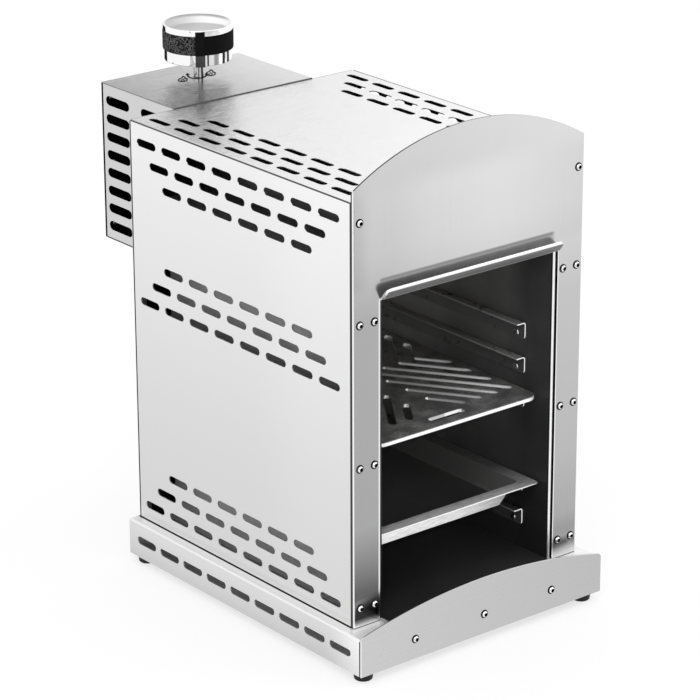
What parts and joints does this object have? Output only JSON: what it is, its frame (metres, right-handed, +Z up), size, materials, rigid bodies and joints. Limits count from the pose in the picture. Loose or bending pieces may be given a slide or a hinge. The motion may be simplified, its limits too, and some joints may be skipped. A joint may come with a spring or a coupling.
{
  "type": "steak broiler",
  "caption": "Tall countertop gas steak broiler: stainless cabinet with an open chamber below an overhead ceramic burner, slide-in grate and drip tray, and a press-and-turn knob on a rear box.",
  "frame": {"origin": "on the floor below the centre of the bounding box, at the underside of the rubber feet", "axes": "+Z up, +Y to the back, +X to the right for someone facing the open chamber"},
  "size_m": [0.2732, 0.4462, 0.469],
  "materials": {
    "outer_steel": "finely brushed, bright",
    "chamber_steel": "brushed, darkened by heat",
    "rail_steel": "brushed",
    "grate_steel": "mottled by use",
    "tray_steel": "pressed, satin",
    "fastener_steel": "bright",
    "foot_rubber": "matt black",
    "burner_ceramic": "porous, perforated face",
    "burner_steel": "pressed, satin",
    "probe_ceramic": "white sleeve with a steel tip",
    "valve_brass": "cast and turned",
    "inlet_brass": "turned",
    "pipe_metal": "drawn",
    "lead_sleeve": "insulated",
    "stem_steel": "turned",
    "knob_chrome": "mirror-bright plating",
    "knob_rubber": "black, knurled",
    "knob_black": "black"
  },
  "bodies": {
    "cabinet": {"side_panel_left": "outer_steel", "side_panel_right": "outer_steel", "top_panel": "outer_steel", "back_panel": "outer_steel", "front_panel": "outer_steel", "base_tray": "outer_steel", "base_front_plate": "outer_steel", "rear_box_side_left": "outer_steel", "rear_box_side_right": "outer_steel", "rear_box_back": "outer_steel", "rear_box_roof": "outer_steel", "rear_box_floor": "outer_steel", "liner_left": "chamber_steel", "liner_right": "chamber_steel", "liner_back": "chamber_steel", "chamber_floor": "chamber_steel", "chamber_ceiling": "chamber_steel", "shelf_rails_left": "rail_steel", "shelf_rails_right": "rail_steel", "apron_screws": "fastener_steel", "foot_screws": "fastener_steel", "front_panel_screws": "fastener_steel", "rear_box_screws": "fastener_steel", "rail_rivets": "fastener_steel", "rubber_feet": "foot_rubber", "ceramic_tiles": "burner_ceramic", "burner_frame": "burner_steel", "burner_housing": "burner_steel", "mixing_tube": "burner_steel", "valve_bracket": "burner_steel", "ignition_electrode": "probe_ceramic", "flame_probe": "probe_ceramic", "valve_body": "valve_brass", "injector": "valve_brass", "inlet_fitting": "inlet_brass", "inlet_nut": "inlet_brass", "supply_pipe": "pipe_metal", "ignition_lead": "lead_sleeve", "probe_lead": "lead_sleeve"},
    "grate": {"grate": "grate_steel"},
    "drip_tray": {"drip_tray": "tray_steel"},
    "valve_spindle": {"stem_collar": "stem_steel"},
    "knob": {"knob_core": "knob_chrome", "knob_grip": "knob_rubber", "knob_pointer": "knob_black", "valve_stem": "stem_steel"},
    "valve_plug": {"valve_plug": "valve_brass"}
  },
  "joints": [
    {"name": "grate_slide", "type": "slide", "parent": "cabinet", "child": "grate", "axis": [0, -1, 0], "range_m": [0, 0.22]},
    {"name": "tray_slide", "type": "slide", "parent": "cabinet", "child": "drip_tray", "axis": [0, -1, 0], "range_m": [0, 0.22]},
    {"name": "knob_press", "type": "slide", "parent": "cabinet", "child": "valve_spindle", "axis": [0, 0, -1], "range_m": [0, 0.004], "stiffness_N_per_m": 800, "springref_m": -0.02},
    {"name": "knob_turn", "type": "hinge", "parent": "valve_spindle", "child": "knob", "pos_m": [0, 0.17785, 0.4416], "axis": [0, 0, 1], "range_deg": [-60, 120]},
    {"name": "plug_turn", "type": "hinge", "parent": "cabinet", "child": "valve_plug", "pos_m": [0, 0.17785, 0.3776], "axis": [0, 0, 1], "range_deg": [-60, 120]}
  ],
  "couplings": [
    {"joint": "plug_turn", "follows": "knob_turn", "ratio": 1}
  ]
}
